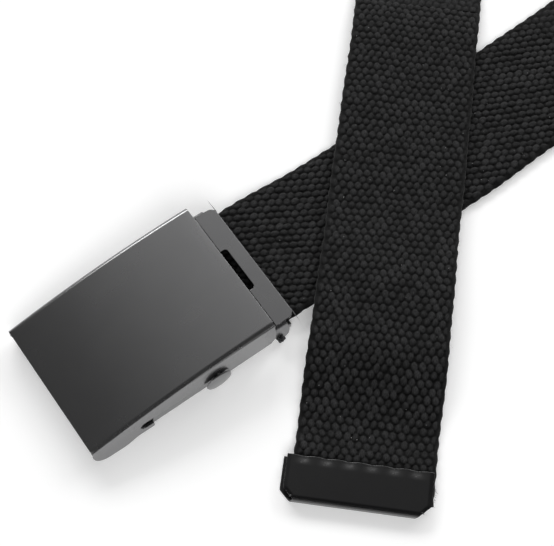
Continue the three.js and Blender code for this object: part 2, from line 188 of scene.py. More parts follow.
def mesh_piece(name, vertices, faces):
    mesh = bpy.data.meshes.new(name)
    mesh.from_pydata(vertices, [], faces)
    piece = bpy.data.objects.new(name, mesh)
    bpy.context.scene.collection.objects.link(piece)
    return piece


def box_piece(name, low, high):
    """A cube primitive brought to two opposite corners, with its place in its mesh."""
    low, high = Vector(low), Vector(high)
    bpy.ops.object.select_all(action="DESELECT")
    bpy.ops.mesh.primitive_cube_add(size=1, location=(low + high) / 2)
    piece = bpy.context.active_object
    piece.name = piece.data.name = name
    piece.scale = high - low
    bpy.ops.object.transform_apply(location=True, rotation=True, scale=True)
    return piece


def prism_piece(name, outline, low, high):
    """An outline in X and Z, extruded along Y in edit mode."""
    vertices = [(x, low, z) for x, z in outline]
    piece = mesh_piece(name, vertices, [range(len(vertices))])
    activate(piece)
    bpy.ops.object.mode_set(mode="EDIT")
    bpy.ops.mesh.select_all(action="SELECT")
    bpy.ops.mesh.extrude_region_move(TRANSFORM_OT_translate={"value": (0, high - low, 0)})
    bpy.ops.object.mode_set(mode="OBJECT")
    face_outward(piece)
    return piece


def face_outward(piece):
    """Makes all faces of a piece look outwards."""
    activate(piece)
    bpy.ops.object.mode_set(mode="EDIT")
    bpy.ops.mesh.select_all(action="SELECT")
    bpy.ops.mesh.normals_make_consistent(inside=False)
    bpy.ops.object.mode_set(mode="OBJECT")


def ring_faces(rings, around, closed=False):
    """Quads between rings of points, and back from the last ring to the first where they close."""
    return [(r * around + k, r * around + (k + 1) % around,
             (r + 1) % rings * around + (k + 1) % around, (r + 1) % rings * around + k)
            for r in range(rings if closed else rings - 1) for k in range(around)]


def pick(piece, kind, test):
    """Selects the edges or faces that a test accepts, in edit mode."""
    mesh = bmesh.from_edit_mesh(piece.data)
    for part in (*mesh.verts, *mesh.edges, *mesh.faces):
        part.select = False
    bpy.context.tool_settings.mesh_select_mode = (kind == "verts", kind == "edges", kind == "faces")
    for part in getattr(mesh, kind):
        if test(part):
            part.select = True
    mesh.select_flush_mode()
    bmesh.update_edit_mesh(piece.data)


def finish_with(piece, kind, **settings):
    """Adds a modifier with these settings and applies it."""
    activate(piece)
    modifier = piece.modifiers.new(kind.title(), kind)
    for name, value in settings.items():
        setattr(modifier, name, value)
    bpy.ops.object.modifier_apply(modifier=modifier.name)


def cut(piece, cutter):
    finish_with(piece, "BOOLEAN", operation="DIFFERENCE", solver="EXACT", object=cutter)
    bpy.data.objects.remove(cutter)


def soften(piece, width, segments=2, corner=32):
    """Rounds the cut edges of sheet metal and shades the rest smooth."""
    finish_with(piece, "BEVEL", width=width, segments=segments, limit_method="ANGLE",
                angle_limit=math.radians(corner), use_clamp_overlap=False)
    activate(piece)
    bpy.ops.object.shade_smooth_by_angle(angle=math.radians(38))
    finish_with(piece, "WEIGHTED_NORMAL", weight=80, keep_sharp=True)


def copy_of(node, name):
    """A copy of a CAD node's mesh with its doubles merged and its flat faces made whole."""
    piece = bpy.data.objects.new(name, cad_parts[node].data.copy())
    piece.data.name = name
    bpy.context.scene.collection.objects.link(piece)
    activate(piece)
    bpy.ops.object.mode_set(mode="EDIT")
    bpy.ops.mesh.select_all(action="SELECT")
    bpy.ops.mesh.remove_doubles(threshold=0.03 * MM)
    bpy.ops.mesh.dissolve_limited(angle_limit=math.radians(0.2))
    bpy.ops.object.mode_set(mode="OBJECT")
    piece.data.materials.clear()
    return piece


def arc(x, z, radius, start, end, steps=10):
    return [(x + radius * math.cos(a), z + radius * math.sin(a)) for a in np.linspace(start, end, steps + 1)]


def settle(piece, material, body, slot, *nodes):
    """Gives a finished piece its material and body, and hides the CAD nodes that it stands for. The slot is not used.
    """
    piece.data.materials.clear()
    piece.data.materials.append(material)
    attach(piece, body)
    if nodes:
        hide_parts(*nodes)


# ---- the belt's route

def ease(low, high, value):
    share = np.clip((value - low) / (high - low), 0, 1)
    return share * share * (3 - 2 * share)


def direction(radians):
    return np.array([math.cos(radians), math.sin(radians)])


def tail_lift(size, tip, distance):
    """Height of the free leg's underside, by distance from the crossing; negative is towards the tip."""
    crossing_angle = size.tail_heading - size.strap_heading
    reach = (size.width / 2) * (1 / math.sin(crossing_angle) + 1 / math.tan(crossing_angle))
    over = size.thickness + 0.35 * MM
    high = over + size.clamp_floor * 0.9
    ramp = size.ramp
    rest = size.tail_length - tip.length
    from_loop = over * (1 - ease(reach + 2 * MM, reach + 2 * MM + ramp, distance))
    from_clamp = (high - over) * (1 - ease(-reach + 10 * MM, -5 * MM, distance))
    fall = ease(-reach - 4 * MM - ramp, -reach - 4 * MM, distance)
    end = (tip.sheet + tip.gap) * (1 - ease(-rest + 2 * MM, -rest + 8 * MM, distance))
    return (from_loop + from_clamp) * fall + end


def belt_route(size, tip):
    """The webbing's middle line in plan, its direction, its underside's height and its roll, by distance."""
    step, clear, bow, pull = 0.25 * MM, 0.5 * MM, 25 * MM, 24 * MM
    ahead = direction(size.strap_heading)
    back = direction(size.tail_heading)
    crossing = np.array([size.clamp_end + size.crossing_ahead, size.crossing_side])
    leg_angle = (size.tail_heading - size.strap_heading) / 2
    leg = size.loop_radius / math.tan(leg_angle)
    turn = math.pi + 2 * leg_angle
    exit_point = np.array([size.clamp_end + clear, 0])
    meet = crossing + bow * ahead
    handles = [exit_point, exit_point + pull * direction(size.leave_heading), meet - pull * ahead, meet]

    inside = np.arange(size.clamp_start, exit_point[0], step)
    straight = np.stack([inside, 0 * inside], 1)
    t = np.linspace(0, 1, CURVE_POINTS, endpoint=False)[:, None]
    curve = ((1 - t) ** 3 * handles[0] + 3 * (1 - t) ** 2 * t * handles[1]
             + 3 * (1 - t) * t ** 2 * handles[2] + t ** 3 * handles[3])
    first = np.arange(bow, leg, step)
    out = crossing + first[:, None] * ahead
    side = np.array([-ahead[1], ahead[0]])
    centre = crossing + leg * ahead + size.loop_radius * side
    angles = np.arange(0, turn, step / size.loop_radius) + size.strap_heading - math.pi / 2
    loop = centre + size.loop_radius * np.stack([np.cos(angles), np.sin(angles)], 1)
    web_end = size.tail_length - tip.sheet - tip.chamfer
    last = np.arange(leg, -web_end - step / 2, -step)
    home = crossing + last[:, None] * back

    points = np.concatenate([straight, curve, out, loop, home])
    near = np.concatenate([straight, curve])
    descent = size.clamp_floor * (1 - ease(size.clamp_end, size.clamp_end + size.descent, near[:, 0]))
    lift = np.concatenate([descent, 0 * first, 0 * angles, tail_lift(size, tip, last)])
    stand = lambda d: (math.pi / 2) * ease(size.roll_start, size.roll_start + size.roll_length, d)
    roll = np.concatenate([0 * near[:, 0], stand(first), 0 * angles + math.pi / 2, stand(last)])
    travelled = np.concatenate([[0], np.cumsum(np.linalg.norm(np.diff(points, axis=0), axis=1))])
    heading = np.unwrap(np.arctan2(*np.gradient(points, axis=0).T[::-1]))
    return {"s": travelled, "x": points[:, 0], "y": points[:, 1], "heading": heading, "lift": lift,
            "roll": roll, "crossing": crossing, "before_loop": len(near)}


def stations(size, route, s):
    """Middle point, across direction and face direction of the webbing at these distances."""
    x, y, heading, lift, roll = (np.interp(s, route["s"], route[k]) for k in ("x", "y", "heading", "lift", "roll"))
    zero = 0 * s
    side = np.stack([-np.sin(heading), np.cos(heading), zero], 1)
    up = np.stack([zero, zero, zero + 1], 1)
    cos, sin = np.cos(roll)[:, None], np.sin(roll)[:, None]
    height = lift + (size.width / 2) * np.sin(roll) + (size.thickness / 2) * np.cos(roll)
    return np.stack([x, y, height], 1), side * cos + up * sin, up * cos - side * sin


# ---- the weave

ROW_SWAY = ((0.22, 7, 19), (0.12, 2.9, -31))  # how far the rows sway, and the waves' lengths, in mm


def weave_noise(rows):
    """Seeded differences from nub to nub: height, place along, place across, tone."""
    return np.random.RandomState(SEED).uniform(-1, 1, (4, 2, rows, 64))


def nubs(size, noise, s, v, under):
    """Height of the yarns over the webbing's core, as a share of the nub height, and their tone."""
    height, tone = np.zeros(np.broadcast(s, v).shape), np.zeros(np.broadcast(s, v).shape)
    edge_warp = int(size.width / 2 / size.warp_pitch)
    s = s + sum(sway * MM * np.sin(v / (across * MM) + s / (along * MM)) for sway, across, along in ROW_SWAY)
    home = np.floor(s / size.row_pitch)
    for near in (-1, 0, 1):
        row = home + near
        odd = np.mod(row + under, 2)
        warp = 2 * np.round((v / size.warp_pitch - odd) / 2) + odd
        r, w = row.astype(int) % noise.shape[2], (warp.astype(int) + 32) % 64
        jitter = noise[:, under, r, w]
        a = (s - (row + 0.5) * size.row_pitch - 0.2 * MM * jitter[1]) / (size.nub_length * (1 + 0.14 * jitter[0]))
        b = (v - warp * size.warp_pitch - 0.11 * MM * jitter[2] - 0.16 * jitter[3] * a * MM) / (
            size.nub_width * (1 + 0.1 * jitter[3]))
        dome = np.clip(1 - np.abs(a) ** 2.1 - np.abs(b) ** 2.0, 0, 1) ** 0.5 * (1 + 0.17 * jitter[0])
        dome = np.where(np.abs(warp) <= edge_warp, dome, 0)
        tone = np.where(dome > height, jitter[3], tone)
        height = np.maximum(height, dome)
    return height, tone


def yarn_fuzz(s, v):
    """A fine uneven swell over the yarns, between about -1 and 1, the same on every run."""
    waves = ((0.43, 0.31, 0.3), (-0.37, 0.52, 1.9), (0.29, -0.61, 3.1), (0.71, 0.24, 4.4), (-0.56, -0.33, 5.2))
    return sum(np.sin(s / (a * MM) + v / (b * MM) + turn) for a, b, turn in waves) / len(waves) * 1.6


def webbing_section(size, top_steps, under_steps):
    """Points round the webbing: place across and through, outward direction, and which face they are on."""
    flat = size.warp_pitch * 16
    core = size.thickness / 2 - size.nub_height
    edge_radius = size.width / 2 - flat - 0.42 * MM
    top = np.linspace(flat, -flat, 32 * top_steps + 1)
    under = np.linspace(-flat, flat, 32 * under_steps + 1)
    turn = np.radians([112, 134, 157, 180, 203, 226, 248])
    right = np.stack([-flat + edge_radius * np.cos(turn), core * np.sin(turn), np.cos(turn), np.sin(turn)], 1)
    left = right[::-1] * [-1, 1, -1, 1]
    column = lambda v, up: np.stack([v, 0 * v + core * up, 0 * v, 0 * v + up], 1)
    points = np.concatenate([column(top, 1), right, column(under, -1), left])
    face = np.concatenate([0 * top + 1, 0 * turn, 0 * under - 1, 0 * turn])
    return points, face


def webbing_length(name, size, route, noise, start, end, along, top_steps, under_steps):
    """One closed length of the webbing, woven all round, with its map and its relief."""
    rows = max(2, round((end - start) / size.row_pitch * along))
    s = np.linspace(start, end, rows + 1)
    points, face = webbing_section(size, top_steps, under_steps)
    v, through, out_v, out_n = points.T
    grid = s[:, None] + 0 * v[None, :]
    top, top_tone = nubs(size, noise, grid, v[None, :], 0)
    under, under_tone = nubs(size, noise, grid, v[None, :], 1)
    under = np.minimum(under, RESTING_SHARE)
    swing = np.pi * grid / size.row_pitch + np.where(v > 0, np.pi, 0) - out_n * np.pi / 2
    loop = (0.5 + 0.5 * np.cos(swing)) ** 0.8
    at_edge = ease(15.3 * size.warp_pitch, 16.2 * size.warp_pitch, np.abs(v))[None, :] * np.ones_like(grid)
    share = np.where(face == 0, loop * size.selvedge_bump / size.nub_height,
                     np.where(face > 0, top, under) * (1 - 0.3 * at_edge))
    share = share + 0.12 * yarn_fuzz(grid, v[None, :]) * (0.3 + share)
    tone = np.where(face > 0, top_tone, under_tone)
    pressed = 1 - 0.24 * ease(route["s"][-1] - 10.5 * MM, route["s"][-1] - 7.5 * MM, grid)
    middle, across, facing = stations(size, route, s)
    waver = 0.1 * MM * np.sin(grid / (11 * MM)) + 0.07 * MM * np.sin(grid / (4.7 * MM) + 1)
    q = v + out_v * share * size.nub_height + waver * (v / (size.width / 2))
    n = (through + out_n * share * size.nub_height) * pressed
    place = middle[:, None, :] + across[:, None, :] * q[..., None] + facing[:, None, :] * n[..., None]

    columns = len(v)
    i, j = np.meshgrid(np.arange(rows), np.arange(columns), indexing="ij")
    k = (j + 1) % columns
    quads = np.stack([i * columns + j, i * columns + k, (i + 1) * columns + k, (i + 1) * columns + j], -1)
    quads = quads.reshape(-1, 4)
    caps = [list(range(columns))[::-1], list(range(rows * columns, (rows + 1) * columns))]
    piece = mesh_piece(name, place.reshape(-1, 3).tolist(), quads.tolist() + caps)
    mesh = piece.data

    girth = np.concatenate([[0], np.cumsum(np.hypot(np.diff(v, append=v[0]), np.diff(through, append=through[0])))])
    u = np.stack([s[i], s[i], s[i + 1], s[i + 1]], -1)
    w = np.stack([girth[j], girth[j + 1], girth[j + 1], girth[j]], -1)
    layout = np.concatenate([np.stack([u, w], -1).reshape(-1, 2) / (10 * MM), np.zeros((2 * columns, 2))])
    mesh.uv_layers.new(name="Weave").data.foreach_set("uv", layout.ravel().astype(np.float32))
    for label, values in (("relief", share), ("tone", tone)):
        mesh.attributes.new(label, "FLOAT", "POINT").data.foreach_set("value", values.ravel().astype(np.float32))
    activate(piece)
    bpy.ops.object.shade_smooth_by_angle(angle=math.radians(85))
    return piece


def hair(points, radius):
    """A fibre with three sides along its points, closed at both ends."""
    rings = []
    for at, point in enumerate(points):
        forward = points[min(at + 1, len(points) - 1)] - points[max(at - 1, 0)]
        forward = forward / np.linalg.norm(forward)
        side = np.cross(forward, [0.31, 0.57, 0.76])
        side = side / np.linalg.norm(side)
        other = np.cross(forward, side)
        taper = radius * (1 - 0.45 * at / (len(points) - 1))
        rings += [point + taper * (side * math.cos(a) + other * math.sin(a)) for a in (0, 2.094, 4.189)]
    faces = [(2, 1, 0), tuple(len(rings) - n for n in (3, 2, 1))]
    for at in range(0, len(rings) - 3, 3):
        faces += [(at + n, at + (n + 1) % 3, at + 3 + (n + 1) % 3, at + 3 + n) for n in range(3)]
    return rings, faces


def above_table(line):
    return [np.array([p[0], p[1], max(p[2], 0.04 * MM)]) for p in line]


def joined(name, parts):
    """Many small closed shapes as one mesh."""
    vertices, faces = [], []
    for points, sides in parts:
        start = len(vertices)
        vertices += [tuple(point) for point in points]
        faces += [tuple(start + n for n in side) for side in sides]
    return mesh_piece(name, vertices, faces)


# ---- materials

def material(name):
    made = bpy.data.materials.new(name)
    made.use_nodes = True
    made.node_tree.nodes.clear()
    shader = made.node_tree.nodes.new("ShaderNodeBsdfPrincipled")
    output = made.node_tree.nodes.new("ShaderNodeOutputMaterial")
    made.node_tree.links.new(shader.outputs["BSDF"], output.inputs["Surface"])
    return made, made.node_tree, shader


def add(tree, kind, inputs=None, **settings):
    node = tree.nodes.new(kind)
    for name, value in settings.items():
        setattr(node, name, value)
    for name, value in (inputs or {}).items():
        if isinstance(value, bpy.types.NodeSocket):
            tree.links.new(value, node.inputs[name])
        else:
            node.inputs[name].default_value = value
    return node


def blend_colours(tree, share, first, second, mode="MIX"):
    node = add(tree, "ShaderNodeMix", data_type="RGBA", blend_type=mode)
    for at, value in ((0, share), (6, first), (7, second)):
        if isinstance(value, bpy.types.NodeSocket):
            tree.links.new(value, node.inputs[at])
        else:
            node.inputs[at].default_value = value if at == 0 else (*value[:3], 1)
    return node.outputs[2]


def group(name, inputs, outputs):
    """An empty node group with named sockets, and its two ends."""
    tree = bpy.data.node_groups.new(name, "ShaderNodeTree")
    for label, kind, value in inputs:
        socket = tree.interface.new_socket(label, in_out="INPUT", socket_type=kind)
        if value is not None:
            socket.default_value = value
    for label, kind in outputs:
        tree.interface.new_socket(label, in_out="OUTPUT", socket_type=kind)
    return tree, tree.nodes.new("NodeGroupInput"), tree.nodes.new("NodeGroupOutput")


def ranged(tree, value, low, high, to_low=0.0, to_high=1.0):
    """A value brought from one range into another, and held inside it."""
    return add(tree, "ShaderNodeMapRange", {
        "Value": value, "From Min": low, "From Max": high, "To Min": to_low, "To Max": to_high}).outputs[0]


def maths(tree, operation, first, second):
    return add(tree, "ShaderNodeMath", {0: first, 1: second}, operation=operation).outputs[0]


def noise(tree, scale, vector=None, **inputs):
    """A noise over the piece's own coordinates, unless another vector is given."""
    if vector is None:
        vector = add(tree, "ShaderNodeTexCoord").outputs["Object"]
    settings = {name.title(): value for name, value in inputs.items()}
    return add(tree, "ShaderNodeTexNoise", {"Vector": vector, "Scale": scale, **settings}).outputs["Fac"]


def scaled(tint, factor):
    return [channel * factor for channel in tint]


def edge_wear_and_highlight_group():
    """Convex edges painted bright, broken up by a fine noise: rubbed wear, and on the black tip also a painted
    highlight along its edges.
    """
    tree, given, result = group("Worn edges", [
        ("Amount", "NodeSocketFloat", 0.5), ("Scale", "NodeSocketFloat", 900.0)], [("Mask", "NodeSocketFloat")])
    convex = ranged(tree, add(tree, "ShaderNodeNewGeometry").outputs["Pointiness"], 0.6, 0.72)
    broken = ranged(tree, noise(tree, given.outputs["Scale"], detail=4.0), 0.42, 0.62)
    mask = maths(tree, "MULTIPLY", maths(tree, "MULTIPLY", convex, broken), given.outputs["Amount"])
    tree.links.new(mask, result.inputs["Mask"])
    return tree


def satin_group():
    """Fine grain, faint smudges and their bump on satin metal or paint."""
    tree, given, result = group("Satin", [
        ("Grain Scale", "NodeSocketFloat", 9000.0), ("Smudge Scale", "NodeSocketFloat", 60.0),
        ("Bump", "NodeSocketFloat", 0.05)],
        [("Smudge", "NodeSocketFloat"), ("Normal", "NodeSocketVector")])
    grain = noise(tree, given.outputs["Grain Scale"], detail=3.0)
    smudge = noise(tree, given.outputs["Smudge Scale"], detail=5.0, distortion=0.6)
    bump = add(tree, "ShaderNodeBump", {
        "Height": grain, "Strength": given.outputs["Bump"], "Distance": 0.02 * MM})
    tree.links.new(smudge, result.inputs["Smudge"])
    tree.links.new(bump.outputs["Normal"], result.inputs["Normal"])
    return tree


def shared(name, make):
    return bpy.data.node_groups.get(name) or make()


def finished_metal(name, tint, spread, wear_and_highlight_tint, wear_and_highlight, roughness, bump, grain_scale=None):
    """Metal or paint with smudges that vary its colour and roughness, edges painted bright as wear and, on the tip,
    also as a painted highlight, and a fine grain.
    """
    made, tree, shader = material(name)
    satin = add(tree, "ShaderNodeGroup", node_tree=shared("Satin", satin_group))
    satin.inputs["Bump"].default_value = bump
    if grain_scale:
        satin.inputs["Grain Scale"].default_value = grain_scale
    edge_wear_and_highlight = add(tree, "ShaderNodeGroup", node_tree=shared("Worn edges", edge_wear_and_highlight_group))
    edge_wear_and_highlight.inputs["Amount"].default_value = wear_and_highlight
    smudge = satin.outputs["Smudge"]
    base = blend_colours(tree, smudge, scaled(tint, 1 - spread), scaled(tint, 1 + spread))
    tree.links.new(blend_colours(tree, edge_wear_and_highlight.outputs["Mask"], base, wear_and_highlight_tint), shader.inputs["Base Color"])
    tree.links.new(ranged(tree, smudge, 0.3, 0.7, *roughness), shader.inputs["Roughness"])
    tree.links.new(satin.outputs["Normal"], shader.inputs["Normal"])
    return made, shader


def satin_metal(name, tint, metallic, roughness, wear_and_highlight, bump):
    made, shader = finished_metal(
        name, tint, 0.03, (0.5, 0.5, 0.5), wear_and_highlight, (roughness - 0.008, roughness + 0.008), bump)
    shader.inputs["Metallic"].default_value = metallic
    return made


def gloss_paint(tint):
    """Black gloss paint over sheet metal, with worn edges whose bright colour is also a painted highlight along them,
    and a slightly uneven skin.
    """
    # The bright worn edges here are partly a painted highlight: they paint light along the tip's edges.
    made, shader = finished_metal(
        "tip_gloss_black", tint, 0.2, (0.34, 0.34, 0.34), 0.35, (0.2, 0.3), 0.16, grain_scale=420.0)
    shader.inputs["Coat Weight"].default_value = 0.15
    shader.inputs["Coat Roughness"].default_value = 0.1
    return made


def webbing_material(tint):
    """Spun black yarn: fibres along the nubs, painted shade darkening the pits between them, and a soft sheen."""
    made, tree, shader = material("webbing_yarn")
    relief = add(tree, "ShaderNodeAttribute", attribute_name="relief").outputs["Fac"]
    tone = add(tree, "ShaderNodeAttribute", attribute_name="tone").outputs["Fac"]
    layout = add(tree, "ShaderNodeUVMap", uv_map="Weave").outputs["UV"]
    stretch = add(tree, "ShaderNodeMapping", {"Vector": layout, "Scale": (13.0, 42.0, 1.0)})
    fibres = noise(tree, 1.0, stretch.outputs["Vector"], detail=3.0, roughness=0.7)
    clouds = noise(tree, 1.1, layout, detail=3.0)
    # Painted shade: the yarn colour darkens from the nub tops down into the pits between them, where shade falls.
    pit_shaded_yarn = blend_colours(tree, ranged(tree, relief, 0.15, 0.95), scaled(tint, 0.08), scaled(tint, 1.5))
    tuft = ranged(tree, fibres, 0.3, 0.72, 0.25, 2.3)
    shade = ranged(tree, tone, -1.0, 1.0, 0.78, 1.22)
    patch = ranged(tree, clouds, 0.3, 0.7, 0.88, 1.12)
    every = maths(tree, "MULTIPLY", maths(tree, "MULTIPLY", tuft, shade), patch)
    grey = add(tree, "ShaderNodeCombineColor", {n: every for n in ("Red", "Green", "Blue")})
    final = blend_colours(tree, 1.0, pit_shaded_yarn, grey.outputs[0], "MULTIPLY")
    tree.links.new(final, shader.inputs["Base Color"])
    bump = add(tree, "ShaderNodeBump", {"Height": fibres, "Strength": 0.9, "Distance": 0.12 * MM})
    tree.links.new(bump.outputs["Normal"], shader.inputs["Normal"])
    shader.inputs["Roughness"].default_value = 0.86
    shader.inputs["Specular IOR Level"].default_value = 0.22
    shader.inputs["Sheen Weight"].default_value = 0.10
    shader.inputs["Sheen Roughness"].default_value = 0.5
    return made


def tufted(name, tint, scale, dark, light, roughness):
    """Loose fibres or lint, their tone broken up by a noise."""
    made, tree, shader = material(name)
    tone = blend_colours(tree, noise(tree, scale), scaled(tint, dark), scaled(tint, light))
    tree.links.new(tone, shader.inputs["Base Color"])
    shader.inputs["Roughness"].default_value = roughness
    return made


def floor_material(tint, glow):
    made, tree, shader = material("table")
    tone = blend_colours(tree, noise(tree, 30.0), scaled(tint, 0.99), tint)
    tree.links.new(tone, shader.inputs["Base Color"])
    shader.inputs["Roughness"].default_value = 0.9
    shader.inputs["Specular IOR Level"].default_value = 0.1
    shader.inputs["Emission Color"].default_value = (1, 1, 1, 1)
    shader.inputs["Emission Strength"].default_value = glow
    return made


# ---- the pieces

class BELT_OT_webbing(bpy.types.Operator):
    """Weaves the whole loop of webbing, fine where it lies flat and coarser round the waist"""
    bl_idname = "belt.webbing"
    bl_label = "Webbing"

    def execute(self, context):
        size, tip = context.scene.belt_webbing, context.scene.belt_tip
        route = belt_route(size, tip)
        total = route["s"][-1]
        noise = weave_noise(int(total / size.row_pitch) + 4)
        pit_shaded_yarn = webbing_material(context.scene.belt_finish.webbing)
        near = slice(0, route["before_loop"])
        to_crossing = float(np.interp(size.clamp_end + size.crossing_ahead, route["x"][near], route["s"][near]))
        first_end = to_crossing + 66 * MM
        last_start = total - 150 * MM
        third = (last_start - first_end) / 3
        lengths = [
            ("webbing_clamped_leg", 0, first_end, 7, 4, 1),
            ("webbing_loop_start", first_end, first_end + third, 4, 2, 2),
            ("webbing_loop_middle", first_end + third, first_end + 2 * third, 4, 2, 2),
            ("webbing_loop_end", first_end + 2 * third, last_start, 4, 2, 2),
            ("webbing_free_leg", last_start, total, 7, 4, 1),
        ]
        for name, start, end, along, top_steps, under_steps in lengths:
            piece = webbing_length(name, size, route, noise, start, end, along, top_steps, under_steps)
            settle(piece, pit_shaded_yarn, "belt", "webbing", "webbing_strap")
        return {"FINISHED"}


class BELT_OT_lint(bpy.types.Operator):
    """Scatters loose fibres and specks of lint over the webbing"""
    bl_idname = "belt.lint"
    bl_label = "Fibres and lint"

    def execute(self, context):
        size, tip = context.scene.belt_webbing, context.scene.belt_tip
        route = belt_route(size, tip)
        total = route["s"][-1]
        draw = np.random.RandomState(SEED + 1)
        half, thick = size.width / 2, size.thickness / 2

        def root(s, v, n):
            middle, across, facing = stations(size, route, np.array([s]))
            return middle[0] + across[0] * v + facing[0] * n, across[0], facing[0]

        fibres = []
        for at in range(size.fibres):
            s = draw.uniform(24 * MM, total - 9 * MM)
            if at % 5:
                side = draw.choice([-1, 1])
                point, across, facing = root(s, side * (half - 0.25 * MM), draw.uniform(-0.6, 0.8) * thick)
                out = side * across + draw.uniform(-0.5, 0.6) * facing
            else:
                point, across, facing = root(s, draw.uniform(-0.95, 0.95) * half, thick - 0.12 * MM)
                out = facing * 0.8 + draw.uniform(-1, 1) * across
            forward = np.cross(across, facing)
            out = out + forward * draw.uniform(-1.2, 1.2)
            reach = draw.uniform(0.35, 1.1) * MM
            curl = (forward * draw.uniform(-1, 1) + facing * draw.uniform(-0.7, 0.2)) * reach * 0.7
            line = [point + out * reach * t + curl * t * t for t in (-0.3, 0.15, 0.6, 1.0)]
            fibres.append(hair(above_table(line), draw.uniform(0.014, 0.03) * MM))
        for at in range(size.frayed):
            s = total - draw.uniform(0.2, 5.5) * MM
            point, across, facing = root(s, half - draw.uniform(0, 2.2) * MM, draw.uniform(-0.8, 0.8) * thick)
            forward = np.cross(across, facing)
            reach = draw.uniform(0.5, 1.5) * MM
            out = across * draw.uniform(0.1, 1.0) - forward * draw.uniform(-1.0, 0.3)
            line = [point + out * reach * t + facing * reach * draw.uniform(-0.15, 0.1) * t
                    for t in (-0.3, 0.3, 0.7, 1)]
            fibres.append(hair(above_table(line), draw.uniform(0.02, 0.045) * MM))
        piece = joined("webbing_fibres", fibres)
        tint = context.scene.belt_finish.webbing
        settle(piece, tufted("loose_fibre", tint, 900.0, 0.8, 3, 0.8), "belt", "webbing")

        specks = []
        faces = [(0, 2, 4), (2, 1, 4), (1, 3, 4), (3, 0, 4), (2, 0, 5), (1, 2, 5), (3, 1, 5), (0, 3, 5)]
        for at in range(size.specks):
            near_tail = at % 3
            s = draw.uniform(total - 150 * MM, total - 12 * MM) if near_tail else draw.uniform(22 * MM, 130 * MM)
            point, across, facing = root(s, draw.uniform(-0.92, 0.92) * half, thick - 0.03 * MM)
            forward = np.cross(across, facing)
            radius = draw.uniform(0.05, 0.12) * MM
            arms = [forward * draw.uniform(1, 1.8), across, facing * 0.7]
            corners = [point + radius * sign * arm for arm in arms for sign in (1, -1)]
            specks.append((corners, faces))
        lint = tufted("lint", context.scene.belt_finish.lint, 5000.0, 0.6, 1, 0.9)
        settle(joined("webbing_lint", specks), lint, "belt", "webbing")
        return {"FINISHED"}


def cover_top(size, x):
    share = x / size.cover_length
    slope = size.front_height + (size.rear_height - size.front_height) * (share + 0.5)
    return slope + size.camber * (1 - 4 * share * share)


def wall_outline(size):
    """What is cut from both walls of the cover: all below their lower edge, the slot and its keyhole."""
    half = size.cover_length / 2
    below, beyond = -5 * MM, half + 10 * MM
    lobe, foot = 4.2 * MM, 0.2 * MM
    lobe_low = -half + 0.05 * MM + lobe
    lobe_end = lobe_low + 4.4 * MM
    step_end, step_top = lobe_end + 5.2 * MM, foot + 1.4 * MM
    seam, slot, slot_front = -10.5 * MM, 1.5 * MM, -14.3 * MM
    keyhole, keyhole_radius = 10.5 * MM, 3.0 * MM
    rear_lift, rear_corner = 4.6 * MM, 2.6 * MM
    middle = size.slot_height
    points = [(-beyond, below), (-beyond, foot + lobe)]
    points += arc(lobe_low, foot + lobe, lobe, math.pi, 1.5 * math.pi, 14)
    start, end = Vector((lobe_end, foot)), Vector((step_end, step_top))
    reach = Vector((2 * MM, 0))
    for t in np.linspace(0, 1, 11):
        point = ((1 - t) ** 3 * start + 3 * (1 - t) ** 2 * t * (start + reach)
                 + 3 * (1 - t) * t ** 2 * (end - reach) + t ** 3 * end)
        points.append(tuple(point))
    points += [(seam, step_top), (seam, middle - slot)]
    points += arc(slot_front + slot, middle, slot, 1.5 * math.pi, 0.5 * math.pi, 14)
    enter = math.pi - math.asin(slot / keyhole_radius)
    leave = -math.asin((middle - rear_lift) / keyhole_radius)
    points += arc(keyhole, middle, keyhole_radius, enter, leave, 26)
    points += arc(half - rear_corner, rear_lift + rear_corner, rear_corner, 1.5 * math.pi, 2 * math.pi, 10)
    points += [(beyond, rear_lift + rear_corner), (beyond, below)]
    return points


class BELT_OT_cover(bpy.types.Operator):
    """Bends the buckle's cover from sheet, with its bowed plate, leaning walls, slots and keyholes"""
    bl_idname = "belt.cover"
    bl_label = "Cover"

    def execute(self, context):
        size = context.scene.belt_buckle
        half, side = size.cover_length / 2, size.cover_width / 2
        cover = box_piece("cover_sheet", (-half, -side, 0), (half, side, 10 * MM))
        bpy.ops.object.mode_set(mode="EDIT")
        pick(cover, "faces", lambda f: abs(f.normal.x) > 0.9 or f.normal.z < -0.9)
        bpy.ops.mesh.delete(type="FACE")
        pick(cover, "edges", lambda e: abs(e.verts[0].co.x - e.verts[1].co.x) > half)
        bpy.ops.mesh.subdivide(number_cuts=39)
        mesh = bmesh.from_edit_mesh(cover.data)
        for vertex in mesh.verts:
            top = cover_top(size, vertex.co.x)
            if vertex.co.z > 5 * MM:
                vertex.co.z = top
            else:
                vertex.co.y = math.copysign(side + size.wall_lean * top, vertex.co.y)
        bmesh.update_edit_mesh(cover.data)
        pick(cover, "edges", lambda e: all(v.co.z > 5 * MM for v in e.verts) and abs(
            e.verts[0].co.y - e.verts[1].co.y) < 1 * MM)
        bpy.ops.mesh.bevel(offset=size.bend, offset_type="OFFSET", segments=7, affect="EDGES")
        bpy.ops.object.mode_set(mode="OBJECT")
        finish_with(cover, "SOLIDIFY", thickness=size.sheet, offset=-1, use_even_offset=True)
        cut(cover, prism_piece("wall_cutter", wall_outline(size), -2 * side, 2 * side))
        soften(cover, size.edge)
        tint = context.scene.belt_finish.cover
        settle(cover, satin_metal("cover_satin", tint, 0.95, 0.27, 0.25, 0.05), "belt", "cover_metal", "buckle_cover")
        return {"FINISHED"}


